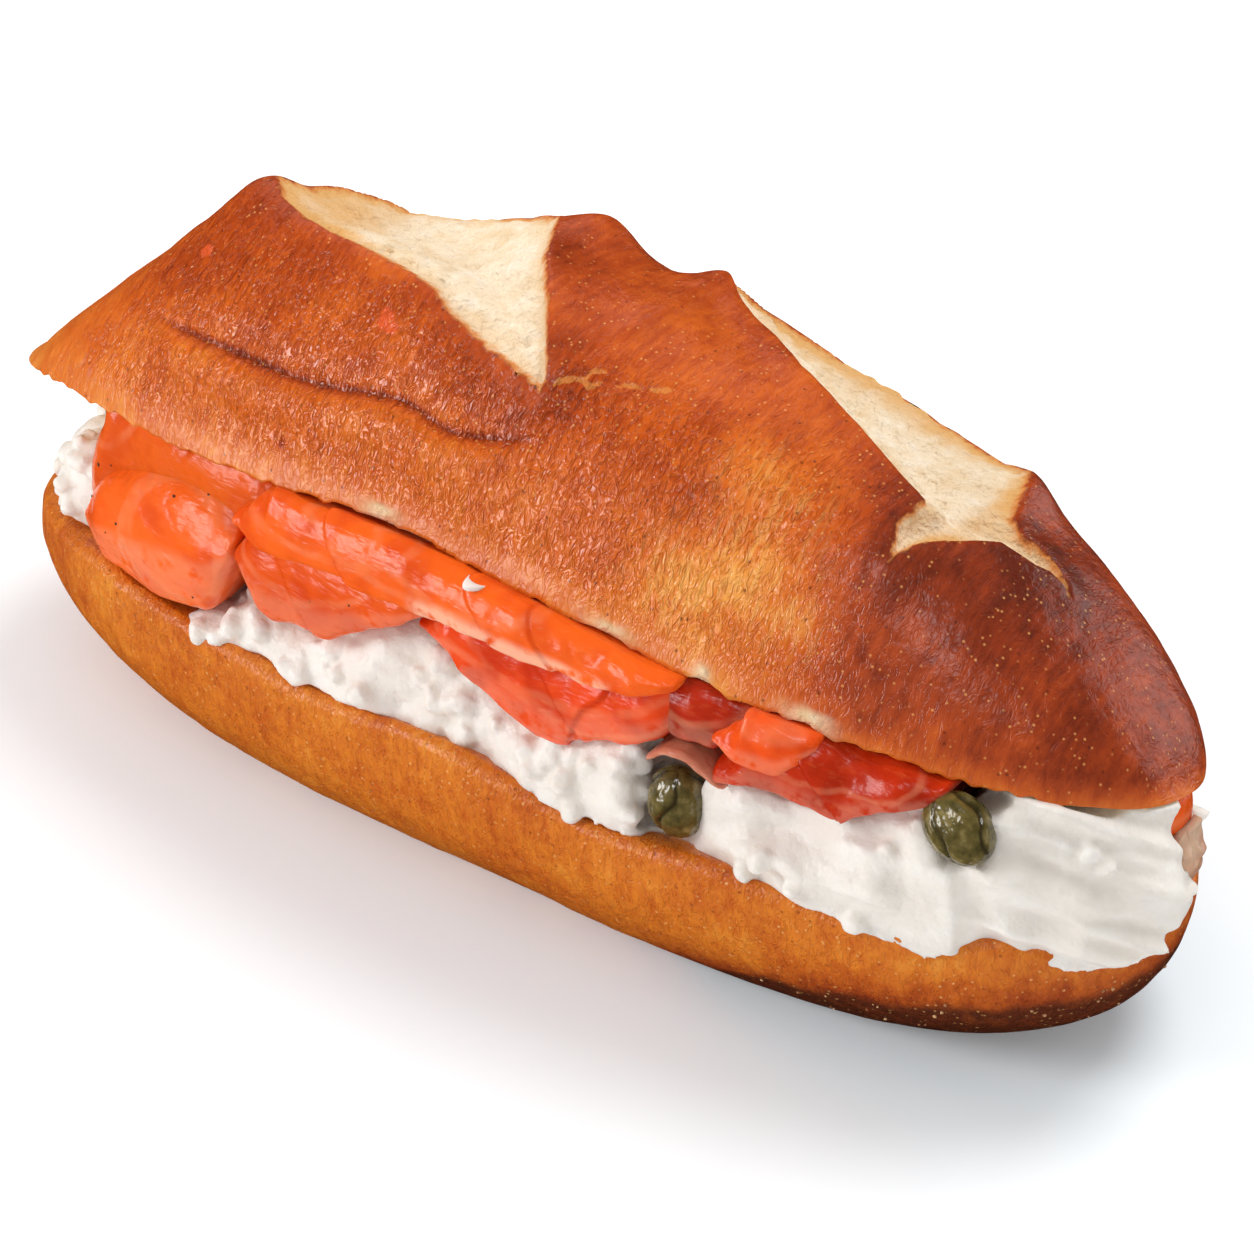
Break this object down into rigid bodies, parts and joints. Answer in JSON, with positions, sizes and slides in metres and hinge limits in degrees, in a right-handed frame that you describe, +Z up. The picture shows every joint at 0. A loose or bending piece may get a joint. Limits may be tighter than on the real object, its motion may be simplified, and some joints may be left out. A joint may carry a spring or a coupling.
{
  "type": "pretzel roll sandwich",
  "caption": "Split pretzel stick roll, open along one side, filled with soft cheese, folded smoked salmon slices and capers.",
  "frame": {"origin": "middle of the flat base that the roll rests on", "axes": "+X along the roll, -Y towards the open side, +Z up"},
  "size_m": [0.1798, 0.0657, 0.0772],
  "materials": {
    "crust_base": "baked golden crust, satin",
    "crust_top": "dark glazed pretzel crust, glossy, pale crumb in the slashes",
    "soft_cheese": "moist soft cheese",
    "salmon_orange": "moist smoked salmon, orange",
    "salmon_red": "moist smoked salmon, red",
    "salmon_skin": "brown edge of a salmon slice",
    "caper": "olive green caper bud"
  },
  "bodies": {
    "root": {"bottom_half": "crust_base", "top_half": "crust_top", "soft_cheese": "soft_cheese", "soft_cheese_upper": "soft_cheese", "salmon_big_fold": "salmon_orange", "salmon_back_sheet": "salmon_orange", "salmon_long_fold": "salmon_orange", "salmon_lower_fold": "salmon_orange", "salmon_middle_slice": "salmon_red", "salmon_dark_slice": "salmon_red", "salmon_small_fold": "salmon_orange", "salmon_right_sheet": "salmon_orange", "salmon_skin_strip": "salmon_skin", "salmon_end_tip": "salmon_orange", "caper_left": "caper", "caper_right": "caper"}
  },
  "joints": []
}
